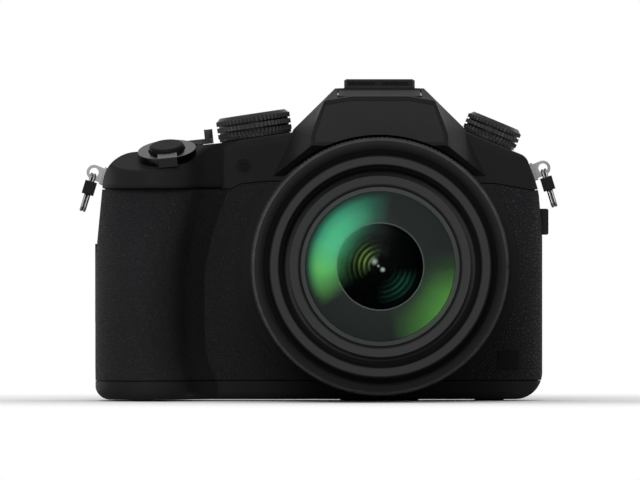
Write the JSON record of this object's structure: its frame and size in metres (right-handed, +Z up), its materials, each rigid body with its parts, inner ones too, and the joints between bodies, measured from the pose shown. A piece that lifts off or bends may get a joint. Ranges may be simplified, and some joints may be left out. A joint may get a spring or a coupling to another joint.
{
  "type": "bridge camera",
  "caption": "Bridge camera with a fixed zoom lens, deep hand grip, pop-up flash, electronic finder, swing-out screen and strap rings.",
  "frame": {"origin": "mouth of the tripod socket under the lens axis, in the plane of the base pad and feet", "axes": "+Z up, -Y along the lens towards the subject, +X towards the plain side, away from the grip"},
  "size_m": [0.1465, 0.1307, 0.0985],
  "materials": {
    "casing_plastic": "fine textured moulding",
    "lens_plastic": "satin moulding",
    "control_plastic": "satin moulding",
    "gloss_trim": "polished",
    "grip_rubber": "leather grain",
    "soft_rubber": "smooth matt",
    "wire_chrome": "bright",
    "plate_steel": "satin",
    "chassis_metal": "cast",
    "shoe_metal": "brushed",
    "optic_glass": "coated",
    "cover_glass": "smoked",
    "lamp_lens": "clear",
    "board_resin": "board",
    "cell_wrap": "printed film without words",
    "socket_brass": "turned"
  },
  "bodies": {
    "camera_body": {"front_cover": "casing_plastic", "rear_cover": "casing_plastic", "top_cover": "casing_plastic", "bottom_cover": "casing_plastic", "grip_leather": "grip_rubber", "side_leather": "grip_rubber", "badge_plate": "gloss_trim", "fascia_plate": "gloss_trim", "hot_shoe": "shoe_metal", "mic_grille": "control_plastic", "finder_unit": "control_plastic", "eyepiece_lens": "optic_glass", "eyecup": "soft_rubber", "chassis": "chassis_metal", "sensor_unit": "control_plastic", "main_board": "board_resin", "battery": "cell_wrap", "lens_barrel": "lens_plastic", "rear_lens_group": "optic_glass", "af_lamp": "lamp_lens", "strap_lugs": "plate_steel", "tripod_socket": "socket_brass", "screws": "plate_steel", "hinge_pins": "plate_steel", "thumb_rest": "grip_rubber"},
    "zoom_middle": {"middle_tube": "lens_plastic"},
    "zoom_front": {"front_tube": "lens_plastic", "name_ring": "lens_plastic", "front_lens": "optic_glass", "lens_cell": "lens_plastic", "inner_lens": "optic_glass"},
    "control_ring": {"control_ring": "lens_plastic"},
    "mode_dial": {"mode_dial": "control_plastic"},
    "drive_dial": {"drive_dial": "control_plastic"},
    "zoom_lever": {"zoom_lever": "control_plastic"},
    "shutter_button": {"shutter_button": "gloss_trim"},
    "power_lever": {"power_lever": "control_plastic"},
    "record_button": {"record_button": "control_plastic"},
    "playback_button": {"playback_button": "control_plastic"},
    "display_button": {"display_button": "control_plastic"},
    "delete_button": {"delete_button": "control_plastic"},
    "lock_button": {"lock_button": "control_plastic"},
    "focus_lever": {"focus_lever": "control_plastic"},
    "cursor_pad": {"cursor_pad": "control_plastic"},
    "set_button": {"set_button": "control_plastic"},
    "thumb_wheel": {"thumb_wheel": "control_plastic"},
    "diopter_dial": {"diopter_dial": "control_plastic"},
    "screen": {"screen_frame": "casing_plastic", "screen_glass": "cover_glass", "screen_hinge": "control_plastic"},
    "battery_door": {"battery_door": "casing_plastic"},
    "battery_latch": {"battery_latch": "control_plastic"},
    "mic_door": {"mic_door": "soft_rubber"},
    "port_door": {"port_door": "soft_rubber"},
    "flash": {"flash_lid": "casing_plastic", "flash_window": "cover_glass"},
    "left_ring": {"strap_ring_left": "wire_chrome", "ring_guard_left": "soft_rubber"},
    "right_ring": {"strap_ring_right": "wire_chrome", "ring_guard_right": "soft_rubber"}
  },
  "joints": [
    {"name": "zoom_first_stage", "type": "slide", "parent": "camera_body", "child": "zoom_middle", "axis": [0, -1, 0], "range_m": [0, 0.032]},
    {"name": "zoom_second_stage", "type": "slide", "parent": "zoom_middle", "child": "zoom_front", "axis": [0, -1, 0], "range_m": [0, 0.032]},
    {"name": "control_ring_turn", "type": "hinge", "parent": "camera_body", "child": "control_ring", "pos_m": [0, 0, 0.0412], "axis": [0, -1, 0], "continuous": true},
    {"name": "mode_dial_turn", "type": "hinge", "parent": "camera_body", "child": "mode_dial", "pos_m": [-0.0379, 0.002, 0.0805], "axis": [-0.1487, 0, 0.9889], "continuous": true},
    {"name": "drive_dial_turn", "type": "hinge", "parent": "camera_body", "child": "drive_dial", "pos_m": [0.03331, 0.002, 0.0796], "axis": [0.3838, 0, 0.9234], "range_deg": [0, 120]},
    {"name": "zoom_lever_turn", "type": "hinge", "parent": "camera_body", "child": "zoom_lever", "pos_m": [-0.06472, -0.03035, 0.0745], "axis": [-0.0978, -0.3256, 0.9405], "range_deg": [-20, 20], "stiffness_Nm_per_rad": 0.02},
    {"name": "shutter_press", "type": "slide", "parent": "camera_body", "child": "shutter_button", "axis": [0.0978, 0.3256, -0.9405], "range_m": [0, 0.0008], "stiffness_N_per_m": 400, "springref_m": -0.0005},
    {"name": "power_lever_turn", "type": "hinge", "parent": "camera_body", "child": "power_lever", "pos_m": [-0.0554, 0.009, 0.07816], "axis": [-0.1034, 0, 0.9946], "range_deg": [0, 30]},
    {"name": "record_press", "type": "slide", "parent": "camera_body", "child": "record_button", "axis": [0.1034, 0, -0.9946], "range_m": [0, 0.0005], "stiffness_N_per_m": 400, "springref_m": -0.0005},
    {"name": "playback_press", "type": "slide", "parent": "camera_body", "child": "playback_button", "axis": [0, -1, 0], "range_m": [0, 0.0005], "stiffness_N_per_m": 400, "springref_m": -0.0005},
    {"name": "display_press", "type": "slide", "parent": "camera_body", "child": "display_button", "axis": [0, -1, 0], "range_m": [0, 0.0005], "stiffness_N_per_m": 400, "springref_m": -0.0005},
    {"name": "delete_press", "type": "slide", "parent": "camera_body", "child": "delete_button", "axis": [0, -1, 0], "range_m": [0, 0.0005], "stiffness_N_per_m": 400, "springref_m": -0.0005},
    {"name": "lock_press", "type": "slide", "parent": "camera_body", "child": "lock_button", "axis": [0, -1, 0], "range_m": [0, 0.0005], "stiffness_N_per_m": 400, "springref_m": -0.0005},
    {"name": "set_press", "type": "slide", "parent": "camera_body", "child": "set_button", "axis": [0, -1, 0], "range_m": [0, 0.0005], "stiffness_N_per_m": 400, "springref_m": -0.0005},
    {"name": "focus_lever_turn", "type": "hinge", "parent": "camera_body", "child": "focus_lever", "pos_m": [-0.05154, 0.019, 0.07046], "axis": [0, 1, 0], "range_deg": [-20, 20], "stiffness_Nm_per_rad": 0.01},
    {"name": "cursor_pad_rock", "type": "hinge", "parent": "camera_body", "child": "cursor_pad", "pos_m": [-0.05986, 0.019, 0.03753], "axis": [1, 0, 0], "range_deg": [-2.5, 2.5], "stiffness_Nm_per_rad": 0.05},
    {"name": "thumb_wheel_turn", "type": "hinge", "parent": "camera_body", "child": "thumb_wheel", "pos_m": [-0.06818, 0.013, 0.07128], "axis": [0, 0, 1], "continuous": true},
    {"name": "diopter_turn", "type": "hinge", "parent": "camera_body", "child": "diopter_dial", "pos_m": [0.01878, 0.022, 0.08102], "axis": [1, 0, 0], "range_deg": [0, 90]},
    {"name": "screen_swing", "type": "hinge", "parent": "camera_body", "child": "screen", "pos_m": [0.045, 0.0192, 0.035], "axis": [0, 0, -1], "range_deg": [0, 175]},
    {"name": "battery_door_open", "type": "hinge", "parent": "camera_body", "child": "battery_door", "pos_m": [-0.06545, -0.012, 0.00125], "axis": [0, -1, 0], "range_deg": [0, 95]},
    {"name": "battery_latch_slide", "type": "slide", "parent": "battery_door", "child": "battery_latch", "axis": [0, 1, 0], "range_m": [0, 0.002], "stiffness_N_per_m": 30, "springref_m": -0.005},
    {"name": "mic_door_open", "type": "hinge", "parent": "camera_body", "child": "mic_door", "pos_m": [0.04935, 0.00185, 0.0548], "axis": [0, 0, 1], "range_deg": [0, 100]},
    {"name": "port_door_open", "type": "hinge", "parent": "camera_body", "child": "port_door", "pos_m": [-0.08635, 0.00105, 0.036], "axis": [0, 0, -1], "range_deg": [0, 100]},
    {"name": "flash_raise", "type": "hinge", "parent": "camera_body", "child": "flash", "pos_m": [0, -0.0196, 0.0934], "axis": [-1, 0, 0], "range_deg": [0, 50]},
    {"name": "left_ring_swing", "type": "hinge", "parent": "camera_body", "child": "left_ring", "pos_m": [-0.0875, 0, 0.06996], "axis": [0, 1, 0], "range_deg": [0, 40]},
    {"name": "right_ring_swing", "type": "hinge", "parent": "camera_body", "child": "right_ring", "pos_m": [0.0502, 0, 0.07128], "axis": [0, -1, 0], "range_deg": [0, 40]}
  ],
  "couplings": [
    {"joint": "zoom_second_stage", "follows": "zoom_first_stage", "ratio": 1}
  ]
}
